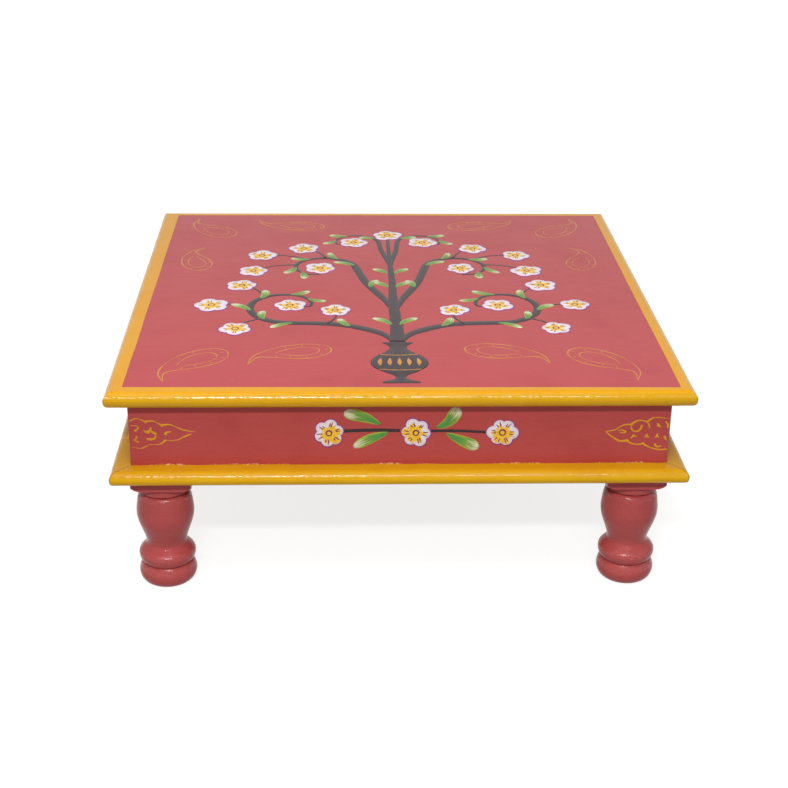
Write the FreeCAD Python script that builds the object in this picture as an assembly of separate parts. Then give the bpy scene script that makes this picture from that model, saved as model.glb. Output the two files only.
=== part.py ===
import FreeCAD, Part
import os
from math import hypot, sqrt

# Bajot: a low square table of painted wood, in millimetres. The origin is on the floor under the
# middle of the top, +Z is up and the front faces -Y.

# Whole table
table_height = 152.4
top_width = 381.0
top_depth = 381.0
corner_easing = 0.9

# Top board
top_thickness = 11.0
top_overhang = 13.4

# Apron: four boards on edge, the front and back ones rebated to lap over the side ones
apron_height = 46.0
apron_thickness = 10.0
apron_lip = 3.5
apron_edge_radius = 1.0

# Base frame: four flat rails, mitred at the corners
base_overhang = 13.1
base_thickness = 10.1
base_rail_width = 60.0

# Glue block in each corner of the apron, with a blind bore for the leg's tenon
block_side = 30.0
block_chamfer = 6.0
bore_wall = 2.7

# Legs: one turned piece each, with a square head and a round tenon
leg_head_side = 40.0
leg_head_height = 9.3
leg_head_edge_radius = 0.8
leg_radius = 19.5
groove_depth = 1.1
tenon_diameter = 12.0
tenon_length = 34.0
tenon_chamfer = 1.0

# Cleats: battens that hold the top down
cleat_depth = 12.0
cleat_height = 12.0

# Wood screws: eight into the top, eight into the apron's lower edges
top_screw_diameter = 3.5
top_screw_head_diameter = 7.0
top_screw_bite_share = 0.65
base_screw_diameter = 3.0
base_screw_head_diameter = 6.0
base_screw_bite = 16.0
slot_width_share = 0.16
slot_depth_share = 0.12

# Panel pins through the cleats into the apron
pin_diameter = 1.6
pin_head_diameter = 3.0
pin_head_thickness = 0.8
pin_bite_share = 0.6

# Places of the fasteners, as shares of the length of the piece that carries them
screw_place_shares = (-0.3, 0.3)
pin_place_shares = (-0.42, 0.42)
base_screw_place_shares = (-0.25, 0.25)

# The leg's outline from the floor up to its head. Radii are shares of leg_radius and heights are
# shares of the turned length: first the bun foot, then the ring, neck and vase, then the collar.
foot_base_shares = (0.700, 0.0)
foot_widest_shares = (1.005, 0.104)
foot_rim_shares = (0.872, 0.197)
foot_corner_share = 0.160
foot_groove_shares = (0.880, 0.204)
vase_shares = (
    (0.905, 0.212),
    (0.950, 0.234),
    (0.978, 0.256),
    (0.988, 0.278),
    (0.976, 0.300),
    (0.932, 0.320),
    (0.868, 0.338),
    (0.803, 0.356),
    (0.746, 0.372),
    (0.713, 0.384),
    (0.703, 0.398),
    (0.709, 0.416),
    (0.733, 0.444),
    (0.824, 0.516),
    (0.936, 0.600),
    (0.994, 0.680),
    (0.988, 0.740),
    (0.960, 0.796),
    (0.930, 0.842),
    (0.893, 0.870),
    (0.842, 0.891),
    (0.775, 0.904),
)
collar_groove_shares = (0.786, 0.912)
collar_foot_shares = (0.893, 0.924)

# The square head's lower corners, as shares of its side and of its height
shoulder_radius_share = 0.578
shoulder_height_share = 0.5

# Clearances and overruns
fastener_clearance = 0.05
tenon_clearance = 0.05
tenon_end_gap = 0.8
cleat_end_gap = 0.3
overrun = 5.0

# Levels and half sizes worked out from the sizes above
top_level = table_height - top_thickness
apron_level = top_level - apron_height
base_level = apron_level - base_thickness
turned_height = base_level - leg_head_height
apron_half_width = top_width / 2 - top_overhang
apron_half_depth = top_depth / 2 - top_overhang
base_half_width = apron_half_width + base_overhang
base_half_depth = apron_half_depth + base_overhang
inner_half_width = apron_half_width - apron_thickness
inner_half_depth = apron_half_depth - apron_thickness
leg_x = inner_half_width - bore_wall - tenon_diameter / 2
leg_y = inner_half_depth - bore_wall - tenon_diameter / 2

corners = {
    "front_left": (-1, -1),
    "front_right": (1, -1),
    "back_left": (-1, 1),
    "back_right": (1, 1),
}

# Each side is made as a front piece and turned into place by this angle about +Z
side_angles = {"front": 0, "right": 90, "back": 180, "left": 270}


def point(x, y, z):
    return FreeCAD.Vector(x, y, z)


def turned_about_z(shape, angle):
    copy = shape.copy()
    copy.rotate(point(0, 0, 0), point(0, 0, 1), angle)
    return copy


def centred_box(width, depth, height, x, y, low):
    return Part.makeBox(width, depth, height, point(x - width / 2, y - depth / 2, low))


def lathe(edges):
    """Turns an outline in the XZ plane, which starts and ends on the axis, into a solid."""
    face = Part.Face(Part.Wire(edges))
    return face.revolve(point(0, 0, 0), point(0, 0, 1), 360)


def line(start, end):
    return Part.makeLine(point(start[0], 0, start[1]), point(end[0], 0, end[1]))


def quarter_round(start, corner, end):
    """Quarter of an ellipse that touches the lines from start to corner and corner to end."""
    curve = Part.BezierCurve()
    curve.setPoles([point(radius, 0, height) for radius, height in (start, corner, end)])
    curve.setWeight(2, sqrt(1 / 2))
    return curve.toShape()


def polyline(places):
    return [line(start, end) for start, end in zip(places, places[1:])]


def side_sizes(side, half_width, half_depth):
    """Half length along a side and half distance across, as seen from that side."""
    if side in ("front", "back"):
        return half_width, half_depth
    return half_depth, half_width


def corner_trim(half_width, half_depth):
    """Tall cylinder that takes the sharp points off the four corners of a board or frame."""
    radius = hypot(half_width, half_depth) - corner_easing
    return Part.makeCylinder(radius, table_height)


# Fasteners

def screw(diameter, head_diameter, length, grow=0):
    """Countersunk wood screw with its head's face at the origin and its point up +Z."""
    radius = diameter / 2 + grow
    head_radius = head_diameter / 2 + grow
    head_depth = head_radius - radius
    tip = length - diameter
    outline = polyline([
        (0, 0),
        (head_radius, 0),
        (radius, head_depth),
        (radius, tip),
        (0, length + grow),
        (0, 0),
    ])
    return lathe(outline)


def slotted_screw(diameter, head_diameter, length):
    slot = centred_box(
        head_diameter + overrun, head_diameter * slot_width_share,
        head_diameter * slot_depth_share, 0, 0, 0)
    return screw(diameter, head_diameter, length).cut(slot)


def pin(length, grow=0):
    """Panel pin with its flat head at the origin and its point up +Z."""
    radius = pin_diameter / 2 + grow
    head_radius = pin_head_diameter / 2 + grow
    head_depth = pin_head_thickness + grow
    outline = polyline([
        (0, 0),
        (head_radius, 0),
        (head_radius, head_depth),
        (radius, head_depth),
        (radius, length - pin_diameter),
        (0, length + grow),
        (0, 0),
    ])
    return lathe(outline)


def moved(shape, x, y, z):
    copy = shape.copy()
    copy.translate(point(x, y, z))
    return copy


def top_screws(side, grow=None):
    """Screws of one side, up through the cleat into the top, or their holes when grown."""
    length = cleat_height + top_thickness * top_screw_bite_share
    run, across = side_sizes(side, inner_half_width, inner_half_depth)
    if grow is None:
        one = slotted_screw(top_screw_diameter, top_screw_head_diameter, length)
    else:
        one = screw(top_screw_diameter, top_screw_head_diameter, length, grow)
    y = -across + cleat_depth / 2
    level = top_level - cleat_height
    return [moved(one, 2 * run * share, y, level) for share in screw_place_shares]


def cleat_pins(side, grow=0):
    """Pins of one side, outward through the cleat into the apron, or their holes."""
    length = cleat_depth + apron_thickness * pin_bite_share
    run, across = side_sizes(side, inner_half_width, inner_half_depth)
    run = run - block_side
    one = pin(length, grow)
    one.rotate(point(0, 0, 0), point(1, 0, 0), 90)
    y = -across + cleat_depth
    level = top_level - cleat_height / 2
    return [moved(one, 2 * run * share, y, level) for share in pin_place_shares]


def base_screws(side, grow=None):
    """Screws of one side, up through the base rail into the apron's lower edge, or holes."""
    length = base_thickness + base_screw_bite
    run, across = side_sizes(side, apron_half_width, apron_half_depth)
    if grow is None:
        one = slotted_screw(base_screw_diameter, base_screw_head_diameter, length)
    else:
        one = screw(base_screw_diameter, base_screw_head_diameter, length, grow)
    y = -across + apron_thickness / 2
    return [moved(one, 2 * run * share, y, base_level) for share in base_screw_place_shares]


def placed(shapes, side):
    return [turned_about_z(shape, side_angles[side]) for shape in shapes]


# Top

def half_round_plank(length, width, thickness):
    """Plank along X whose two long edges are half-round."""
    radius = thickness / 2
    straight = width / 2 - radius
    corners_yz = [point(0, -straight, 0), point(0, straight, 0),
                  point(0, straight, thickness), point(0, -straight, thickness)]
    front_bulge = point(0, -straight - radius, radius)
    back_bulge = point(0, straight + radius, radius)
    edges = [
        Part.makeLine(corners_yz[0], corners_yz[1]),
        Part.Arc(corners_yz[1], back_bulge, corners_yz[2]).toShape(),
        Part.makeLine(corners_yz[2], corners_yz[3]),
        Part.Arc(corners_yz[3], front_bulge, corners_yz[0]).toShape(),
    ]
    plank = Part.Face(Part.Wire(edges)).extrude(point(length, 0, 0))
    return moved(plank, -length / 2, 0, 0)


def make_top():
    across = half_round_plank(top_width + overrun, top_depth, top_thickness)
    along = half_round_plank(top_depth + overrun, top_width, top_thickness)
    board = across.common(turned_about_z(along, 90))
    board = moved(board, 0, 0, top_level)
    board = board.common(corner_trim(top_width / 2, top_depth / 2))
    for side in side_angles:
        for hole in placed(top_screws(side, fastener_clearance), side):
            board = board.cut(hole)
    return board


# Apron

def make_long_apron(side):
    """Front or back board, with a rebate at each end for the side board."""
    length = 2 * apron_half_width
    y = -apron_half_depth + apron_thickness / 2
    board = centred_box(length, apron_thickness, apron_height, 0, y, apron_level)
    outer = [edge for edge in board.Edges
             if edge.BoundBox.ZLength > apron_height / 2 and edge.BoundBox.YMax < y]
    board = board.makeFillet(apron_edge_radius, outer)
    rebate_y = -apron_half_depth + apron_lip
    for x in (-apron_half_width - overrun, inner_half_width):
        rebate = Part.makeBox(
            apron_thickness + overrun, apron_thickness, apron_height + 2 * overrun,
            point(x, rebate_y, apron_level - overrun))
        board = board.cut(rebate)
    return board


def make_short_apron():
    """Left or right board, made as a front piece, with its ends inside the two laps."""
    length = 2 * (apron_half_depth - apron_lip)
    y = -apron_half_width + apron_thickness / 2
    return centred_box(length, apron_thickness, apron_height, 0, y, apron_level)


def make_apron(side):
    board = make_long_apron(side) if side in ("front", "back") else make_short_apron()
    for hole in cleat_pins(side, fastener_clearance) + base_screws(side, fastener_clearance):
        board = board.cut(hole)
    return turned_about_z(board, side_angles[side])


# Base frame

def make_base_rail(side):
    """Rail with a half-round outer edge, mitred ends and a hole for each tenon."""
    run, across = side_sizes(side, base_half_width, base_half_depth)
    radius = base_thickness / 2
    outer = -across + radius
    inner = -across + base_rail_width
    low_outer = point(0, outer, base_level)
    high_outer = point(0, outer, apron_level)
    edge_middle = point(0, -across, base_level + radius)
    low_inner = point(0, inner, base_level)
    high_inner = point(0, inner, apron_level)
    edges = [
        Part.makeLine(low_inner, low_outer),
        Part.Arc(low_outer, edge_middle, high_outer).toShape(),
        Part.makeLine(high_outer, high_inner),
        Part.makeLine(high_inner, low_inner),
    ]
    length = 2 * (run + overrun)
    rail = Part.Face(Part.Wire(edges)).extrude(point(length, 0, 0))
    rail = moved(rail, -run - overrun, 0, 0)
    rail = rail.common(mitre_wedge(run, across))
    rail = rail.common(corner_trim(base_half_width, base_half_depth))
    leg_run, leg_across = side_sizes(side, leg_x, leg_y)
    for x in (-leg_run, leg_run):
        bore = Part.makeCylinder(
            tenon_diameter / 2 + tenon_clearance, base_thickness + 2 * overrun,
            point(x, -leg_across, base_level - overrun))
        rail = rail.cut(bore)
    for hole in base_screws(side, fastener_clearance):
        rail = rail.cut(hole)
    return turned_about_z(rail, side_angles[side])


def mitre_wedge(run, across):
    """Block that keeps what lies between the two 45 degree mitres of a rail."""
    reach = base_rail_width + overrun
    low = base_level - overrun
    places = [
        point(-run - overrun, -across - overrun, low),
        point(run + overrun, -across - overrun, low),
        point(run - reach, -across + reach, low),
        point(-run + reach, -across + reach, low),
    ]
    wedge = Part.Face(Part.makePolygon(places + places[:1]))
    return wedge.extrude(point(0, 0, base_thickness + 2 * overrun))


# Corner blocks, cleats and legs

def make_corner_block(sign_x, sign_y):
    x = sign_x * (inner_half_width - block_side / 2)
    y = sign_y * (inner_half_depth - block_side / 2)
    block = centred_box(block_side, block_side, apron_height, x, y, apron_level)
    inner_x = x - sign_x * block_side / 2
    inner_y = y - sign_y * block_side / 2
    free_edges = [edge for edge in block.Edges
                  if abs(edge.CenterOfMass.x - inner_x) < block_side / 4
                  and abs(edge.CenterOfMass.y - inner_y) < block_side / 4]
    block = block.makeChamfer(block_chamfer, free_edges)
    depth = tenon_length - base_thickness + tenon_end_gap
    bore = Part.makeCylinder(
        tenon_diameter / 2 + tenon_clearance, depth + overrun,
        point(sign_x * leg_x, sign_y * leg_y, apron_level - overrun))
    return block.cut(bore)


def make_cleat(side):
    run, across = side_sizes(side, inner_half_width, inner_half_depth)
    length = 2 * (run - block_side - cleat_end_gap)
    y = -across + cleat_depth / 2
    cleat = centred_box(length, cleat_depth, cleat_height, 0, y, top_level - cleat_height)
    for hole in top_screws(side, fastener_clearance) + cleat_pins(side, fastener_clearance):
        cleat = cleat.cut(hole)
    return turned_about_z(cleat, side_angles[side])


def leg_place(shares, depth=0):
    """Point of the leg's outline, sunk by a groove's depth where one is given."""
    return leg_radius * shares[0] - depth, turned_height * shares[1]


def leg_foot_edges():
    """Bun foot from the middle of its base up to the top of the groove above it."""
    base = leg_place(foot_base_shares)
    widest = leg_place(foot_widest_shares)
    rim = leg_place(foot_rim_shares)
    groove = leg_place(foot_groove_shares, groove_depth)
    return [
        line((0, 0), base),
        quarter_round(base, (widest[0], 0), widest),
        quarter_round(widest, (widest[0], turned_height * foot_corner_share), rim),
        line(rim, groove),
        line(groove, leg_place(vase_shares[0])),
    ]


def leg_vase_edge():
    """Ring, neck and vase as one smooth curve."""
    curve = Part.BSplineCurve()
    places = [leg_place(shares) for shares in vase_shares]
    curve.interpolate([point(radius, 0, height) for radius, height in places])
    return curve.toShape()


def leg_top_edges():
    """Groove, collar, the core inside the square head, and the tenon."""
    collar = leg_place(collar_foot_shares)
    tenon_radius = tenon_diameter / 2
    tenon_top = base_level + tenon_length
    return polyline([
        leg_place(vase_shares[-1]),
        leg_place(collar_groove_shares, groove_depth),
        collar,
        (collar[0], base_level),
        (tenon_radius, base_level),
        (tenon_radius, tenon_top - tenon_chamfer),
        (tenon_radius - tenon_chamfer, tenon_top),
        (0, tenon_top),
        (0, 0),
    ])


def make_leg_head():
    """Square head whose lower corners the turner has rounded off a little."""
    head = centred_box(
        leg_head_side, leg_head_side, leg_head_height, 0, 0, turned_height)
    upright = [edge for edge in head.Edges
               if edge.BoundBox.ZLength > leg_head_height / 2]
    head = head.makeFillet(leg_head_edge_radius, upright)
    inner = leg_head_side * shoulder_radius_share
    outer = hypot(leg_head_side, leg_head_side) / 2
    low = turned_height
    shoulder = low + leg_head_height * shoulder_height_share
    trim = lathe([
        line((0, low), (inner, low)),
        quarter_round((inner, low), (outer, low), (outer, shoulder)),
        line((outer, shoulder), (outer, base_level)),
        line((outer, base_level), (0, base_level)),
        line((0, base_level), (0, low)),
    ])
    return head.common(trim)


def make_leg(sign_x, sign_y):
    body = lathe(leg_foot_edges() + [leg_vase_edge()] + leg_top_edges())
    leg = body.fuse(make_leg_head()).removeSplitter()
    return moved(leg, sign_x * leg_x, sign_y * leg_y, 0)


def all_pieces():
    pieces = {"top_board": make_top()}
    for side in side_angles:
        pieces["apron_" + side] = make_apron(side)
        pieces["base_rail_" + side] = make_base_rail(side)
        pieces["top_cleat_" + side] = make_cleat(side)
    for corner, signs in corners.items():
        pieces["corner_block_" + corner] = make_corner_block(*signs)
        pieces["leg_" + corner] = make_leg(*signs)
    for name, make in (("top_screws", top_screws), ("cleat_pins", cleat_pins),
                       ("base_screws", base_screws)):
        solids = [one for side in side_angles for one in placed(make(side), side)]
        pieces[name] = Part.makeCompound(solids)
    return pieces


os.makedirs("parts", exist_ok=True)
for name, shape in all_pieces().items():
    shape.exportStep("parts/" + name + ".step")
    print(name, len(shape.Solids), "solids", round(shape.Volume), "mm3", shape.isValid())
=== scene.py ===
import math
import random

import bpy
from mathutils import Matrix, Vector


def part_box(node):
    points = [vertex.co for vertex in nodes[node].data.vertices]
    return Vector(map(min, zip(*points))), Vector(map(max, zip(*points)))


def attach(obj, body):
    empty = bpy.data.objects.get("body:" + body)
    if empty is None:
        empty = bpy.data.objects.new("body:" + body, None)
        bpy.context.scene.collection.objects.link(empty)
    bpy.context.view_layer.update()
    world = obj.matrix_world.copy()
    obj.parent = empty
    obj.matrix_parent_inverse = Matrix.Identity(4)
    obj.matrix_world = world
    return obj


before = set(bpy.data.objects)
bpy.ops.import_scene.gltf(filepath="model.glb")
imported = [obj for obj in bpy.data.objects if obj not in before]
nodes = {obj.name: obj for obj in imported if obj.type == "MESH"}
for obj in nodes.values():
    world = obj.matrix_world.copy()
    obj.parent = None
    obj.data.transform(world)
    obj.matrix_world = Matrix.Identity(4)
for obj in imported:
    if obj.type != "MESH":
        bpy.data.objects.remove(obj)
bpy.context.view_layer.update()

# Legs
# Four legs, each turned in one piece from a 40 mm square of softwood, with a round tenon that is
# glued up through the base frame. They are brushed all over with red enamel, which keeps the
# lathe's fine rings under its gloss.
leg_red = (190, 84, 83), (164, 62, 64)
leg_roughness = 0.16
leg_specular = 0.12
leg_ripple = 1.9
leg_nibs = 0.5
leg_relief = 0.00018
lathe_rings = 900
shoulder_gloss = 0.27
shoulder_share = 0.7
shoulder_heights = (0.0665, 0.0232, 0.0122)
shoulder_half_width = 0.0034


def paint(colour):
    """A colour as it is seen, from 0 to 255, turned into the shader's own scale."""
    shares = [value / 255 for value in colour]
    return [s / 12.92 if s <= 0.04045 else ((s + 0.055) / 1.055) ** 2.4 for s in shares] + [1]


def paints(colours):
    """A pair of colours, such as that of full and of thin paint, in the shader's scale."""
    return [paint(colour) for colour in colours]


def link(output, target):
    output.id_data.links.new(output, target)


def new_node(tree, kind, **settings):
    made = tree.nodes.new("ShaderNode" + kind)
    for name, value in settings.items():
        setattr(made, name, value)
    return made


def add(kind, inputs, **settings):
    """Adds a shader node where its inputs are: numbers, colours or the outputs of other nodes."""
    outputs = {name: value for name, value in inputs.items()
               if isinstance(value, bpy.types.NodeSocket)}
    made = new_node(next(iter(outputs.values())).id_data, kind, **settings)
    for name, value in inputs.items():
        if name in outputs:
            link(value, made.inputs[name])
        else:
            made.inputs[name].default_value = value
    return made


def sum_of(operation, first, second=0.0, third=0.0):
    return add("Math", {0: first, 1: second, 2: third}, operation=operation).outputs[0]


def times(first, second):
    return sum_of("MULTIPLY", first, second)


def minus(first, second):
    return sum_of("SUBTRACT", first, second)


def times_plus(value, factor, base):
    return sum_of("MULTIPLY_ADD", value, factor, base)


def ramp(value, low, high, to_low=0.0, to_high=1.0):
    """Smooth step of a value from low to high."""
    inputs = {"Value": value, "From Min": low, "From Max": high,
              "To Min": to_low, "To Max": to_high}
    return add("MapRange", inputs, interpolation_type="SMOOTHSTEP").outputs[0]


def mixed(share, first, second):
    return add("Mix", {0: share, 6: first, 7: second}, data_type="RGBA").outputs[2]


def noise(vector, scale, detail=2.0, roughness=0.5):
    inputs = {"Vector": vector, "Scale": scale, "Detail": detail, "Roughness": roughness}
    return add("TexNoise", inputs).outputs["Fac"]


def stretched(vector, scale):
    return add("VectorMath", {0: vector, 1: scale}, operation="MULTIPLY").outputs[0]


def xyz_of(vector):
    return add("SeparateXYZ", {0: vector}).outputs


def new_group(name, inputs, outputs):
    """Starts a node group and returns its tree, its inputs by name and its output node."""
    tree = bpy.data.node_groups.new(name, "ShaderNodeTree")
    for way, sockets in (("INPUT", inputs), ("OUTPUT", outputs)):
        for socket, kind in sockets.items():
            tree.interface.new_socket(socket, in_out=way, socket_type="NodeSocket" + kind)
    return tree, tree.nodes.new("NodeGroupInput").outputs, tree.nodes.new("NodeGroupOutput")


def put(end, **values):
    for name, socket in values.items():
        link(socket, end.inputs[name])


def use(group, inputs):
    """Puts a node group to use and returns its outputs by name."""
    return dict(add("Group", inputs, node_tree=group).outputs.items())


def enamel_group():
    """Brushed gloss enamel: brush lines along the work, faint clouds, dust nibs and ripple."""
    brush_share, cloud_share, mottle_share = 0.12, 0.34, 0.22
    cells_per_metre, cells_without_nib = 190.0, 0.86
    grain_height, swell_height, line_height, nib_height = 0.5, 0.9, 0.30, 1.6
    gloss_change = 0.12
    tree, given, end = new_group(
        "Brushed enamel",
        {"Coordinates": "Vector", "Lines per metre": "Vector", "Paint": "Color",
         "Thin paint": "Color", "Ripple": "Float", "Nibs": "Float", "Roughness": "Float"},
        {"Color": "Color", "Roughness": "Float", "Height": "Float"})
    where = given["Coordinates"]
    lines = noise(stretched(where, given["Lines per metre"]), 1.0, 3.0, 0.6)
    cloud = noise(where, 24.0, 3.0, 0.55)
    mottle = noise(where, 1100.0, 2.0, 0.6)
    thin = times(ramp(lines, 0.42, 0.76), brush_share)
    thin = times_plus(ramp(cloud, 0.42, 0.8), cloud_share, thin)
    thin = times_plus(ramp(mottle, 0.35, 0.75), mottle_share, thin)
    colour = mixed(thin, given["Paint"], given["Thin paint"])
    cells = add("TexVoronoi", {"Vector": where, "Scale": cells_per_metre}, feature="F1")
    chosen = add("SeparateColor", {0: cells.outputs["Color"]}).outputs[0]
    with_nib = sum_of("GREATER_THAN", chosen, cells_without_nib)
    nib = times(ramp(cells.outputs["Distance"], 0.10, 0.02), times(with_nib, given["Nibs"]))
    grain = noise(where, 580.0, 1.5, 0.6)
    swell = noise(where, 95.0, 1.0)
    height = times_plus(grain, grain_height, times(swell, swell_height))
    height = times(height, given["Ripple"])
    height = times_plus(lines, line_height, height)
    height = times_plus(nib, nib_height, height)
    gloss = minus(given["Roughness"], gloss_change / 2)
    gloss = times_plus(cloud, gloss_change, gloss)
    put(end, Color=colour, Roughness=gloss, Height=height)
    return tree


brushed_enamel = enamel_group()


def enamel(where, lines, colours, ripple, nibs, roughness):
    """A coat of brushed enamel, with so many brush lines per metre along X, Y and Z."""
    full, thin = colours
    return use(brushed_enamel, {
        "Coordinates": where, "Lines per metre": lines, "Paint": full, "Thin paint": thin,
        "Ripple": ripple, "Nibs": nibs, "Roughness": roughness})


def gloss_grain_group():
    """Glassy grains of thicker paint, in the bands where a brush leaves the most."""
    tree, given, end = new_group(
        "Gloss grains", {"Coordinates": "Vector", "Band": "Float"}, {"Weight": "Float"})
    grain = noise(given["Coordinates"], 820.0, 1.0)
    put(end, Weight=times(ramp(grain, 0.46, 0.56), given["Band"]))
    return tree


gloss_grains = gloss_grain_group()


def band_at(height, middle, half_width):
    """1 at a height, falling to 0 at half a width above and below it."""
    off = sum_of("ABSOLUTE", minus(height, middle))
    return ramp(off, half_width, half_width * 0.3)


def glaze(shader, where, band, roughness):
    """Lets the thick paint of a band shine in grains, through the shader's clear coat."""
    grains = use(gloss_grains, {"Coordinates": where, "Band": band})
    link(grains["Weight"], shader.inputs["Coat Weight"])
    shader.inputs["Coat Roughness"].default_value = roughness


def surface(name, specular):
    """A new material: returns it, its Principled shader and object coordinates."""
    made = bpy.data.materials.new(name)
    made.use_nodes = True
    shader = made.node_tree.nodes["Principled BSDF"]
    shader.inputs["Specular IOR Level"].default_value = specular
    return made, shader, new_node(made.node_tree, "TexCoord").outputs["Object"]


def finish_with(shader, colour, roughness, height, depth):
    """Gives a material its colour, its roughness and a relief of a depth in metres."""
    link(colour, shader.inputs["Base Color"])
    link(roughness, shader.inputs["Roughness"])
    made = add("Bump", {"Strength": 1.0, "Distance": depth, "Height": height})
    link(made.outputs[0], shader.inputs["Normal"])


def dress(node, material):
    """Gives a CAD piece its finish."""
    piece = nodes[node]
    piece.data.materials.clear()
    piece.data.materials.append(material)


material, shader, where = surface("red enamel on the legs", leg_specular)
coat = enamel(where, (30, 30, lathe_rings), paints(leg_red), leg_ripple, leg_nibs, leg_roughness)
finish_with(shader, coat["Color"], coat["Roughness"], coat["Height"], leg_relief)
height = xyz_of(where)[2]
band = band_at(height, shoulder_heights[0], shoulder_half_width)
for shoulder in shoulder_heights[1:]:
    band = sum_of("MAXIMUM", band, band_at(height, shoulder, shoulder_half_width))
glaze(shader, where, times(band, shoulder_share), shoulder_gloss)
for corner in ("front_left", "front_right", "back_left", "back_right"):
    dress("leg_" + corner, material)

# Base frame
# Four flat rails with a half-round outer edge, mitred at the corners and screwed up into the
# apron. The yellow enamel is brushed along each rail, covers the edge and the top, and runs out
# on the underside, where the bare wood shows towards the middle.
# Painted shade: the flat top of each rail takes a darker yellow than its rounded edge, for the
# shade beside the apron's foot.
shaded_rail_top_yellow = (219, 164, 20), (206, 138, 24)
rail_edge_yellow = (234, 179, 14), (222, 156, 18)
yellow_specular = 0.075
yellow_roughness = 0.11
yellow_ripple = 1.7
yellow_nibs = 1.0
yellow_relief = 0.00022
rail_edge_from, rail_edge_to = 0.0020, 0.0045
arris_gloss = 0.16
arris_share = 0.75
arris_half_width = 0.0016
mitre_brown = (170, 106, 12)
mitre_from, mitre_to = 0.0007, 0.0002
mitre_stain = 0.4
mitre_groove = -2.0
early_wood = (206, 172, 128)
late_wood = (168, 122, 78)
grain_along_x = (7, 110, 110)
grain_along_y = (110, 7, 110)
paint_runs_out_at = 0.146
rail_ragged = 0.006
paint_step = 1.2


def softwood_group():
    """Planed softwood: long bands of early and late wood, and fine fibres."""
    rings_in_band, late_share, fibre_share = 9.0, 0.55, 0.35
    tree, given, end = new_group(
        "Planed softwood",
        {"Coordinates": "Vector", "Grain per metre": "Vector", "Early wood": "Color",
         "Late wood": "Color"},
        {"Color": "Color", "Roughness": "Float", "Height": "Float"})
    where = stretched(given["Coordinates"], given["Grain per metre"])
    bands = noise(where, 1.0, 4.0, 0.55)
    rings = sum_of("FRACT", times(bands, rings_in_band))
    late = ramp(rings, 0.55, 0.95)
    fibres = noise(stretched(where, (3.0, 14.0, 14.0)), 1.0, 2.0, 0.6)
    share = times_plus(fibres, fibre_share, times(late, late_share))
    colour = mixed(share, given["Early wood"], given["Late wood"])
    height = times_plus(late, -0.5, fibres)
    rough = times_plus(fibres, 0.2, 0.55)
    put(end, Color=colour, Roughness=rough, Height=height)
    return tree


planed_softwood = softwood_group()


def bare_wood(where, grain):
    return use(planed_softwood, {
        "Coordinates": where, "Grain per metre": grain,
        "Early wood": paint(early_wood), "Late wood": paint(late_wood)})


def paint_edge_group():
    """Where paint ends on a hidden face: 1 where it covers, ragged over some millimetres."""
    swing, blur = 6.0, 0.0003
    tree, given, end = new_group(
        "Paint edge", {"Coordinates": "Vector", "Inside": "Float", "Ragged": "Float"},
        {"Mask": "Float"})
    rough = noise(given["Coordinates"], 60.0, 5.0, 0.65)
    shift = times(times(minus(rough, 0.5), given["Ragged"]), swing)
    mask = ramp(sum_of("ADD", given["Inside"], shift), -blur, blur)
    put(end, Mask=mask)
    return tree


paint_edge = paint_edge_group()


def folded(where):
    """How far a place lies from the middle along X, along Y and at most, and its height."""
    apart = xyz_of(where)
    x, y = (sum_of("ABSOLUTE", apart[axis]) for axis in (0, 1))
    return x, y, sum_of("MAXIMUM", x, y), apart[2]


def between(share, first, second):
    return add("Mix", {0: share, 2: first, 3: second}).outputs[0]


def painted_over_wood(shader, where, coat, grain, inside, ragged, depth):
    """Paint where inside is above 0, up to a ragged line, and planed softwood beyond it."""
    mask = use(paint_edge, {
        "Coordinates": where, "Inside": inside, "Ragged": ragged})["Mask"]
    wood = bare_wood(where, grain)
    colour = mixed(mask, wood["Color"], coat["Color"])
    rough = between(mask, wood["Roughness"], coat["Roughness"])
    height = between(mask, wood["Height"], coat["Height"])
    finish_with(shader, colour, rough, times_plus(mask, paint_step, height), depth)


def yellow_enamel(where, lines, on_edge, face, edge):
    """Yellow enamel with one colour on the flat face and one on the rounded edge; the darker of
    the two is painted shade.
    """
    colours = [mixed(on_edge, flat, rounded) for flat, rounded in zip(paints(face), paints(edge))]
    return enamel(where, lines, colours, yellow_ripple, yellow_nibs, yellow_roughness)


def shine_on_arris(shader, where, height, low, high):
    """Lets a rounded edge between the heights low and high shine along its upper shoulder."""
    arris = low.z + arris_share * (high.z - low.z)
    glaze(shader, where, band_at(height, arris, arris_half_width), arris_gloss)


for sides, lines, grain in ((("front", "back"), (14, 520, 520), grain_along_x),
                            (("left", "right"), (520, 14, 520), grain_along_y)):
    low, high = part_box("base_rail_" + sides[0])
    material, shader, where = surface(
        "yellow enamel on base rails " + " and ".join(sides), yellow_specular)
    x, y, outward, height = folded(where)
    # Painted shade: the rail's flat top takes the darker yellow and its rounded edge the lighter
    # one.
    on_edge = ramp(height, high.z - rail_edge_from, high.z - rail_edge_to)
    coat = yellow_enamel(where, lines, on_edge, shaded_rail_top_yellow, rail_edge_yellow)
    mitre = ramp(sum_of("ABSOLUTE", minus(x, y)), mitre_from, mitre_to)
    coat["Color"] = mixed(times(mitre, mitre_stain), coat["Color"], paint(mitre_brown))
    coat["Height"] = times_plus(mitre, mitre_groove, coat["Height"])
    painted = minus(outward, paint_runs_out_at)
    painted_over_wood(shader, where, coat, grain, painted, rail_ragged, yellow_relief)
    shine_on_arris(shader, where, height, low, high)
    for side in sides:
        dress("base_rail_" + side, material)

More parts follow.
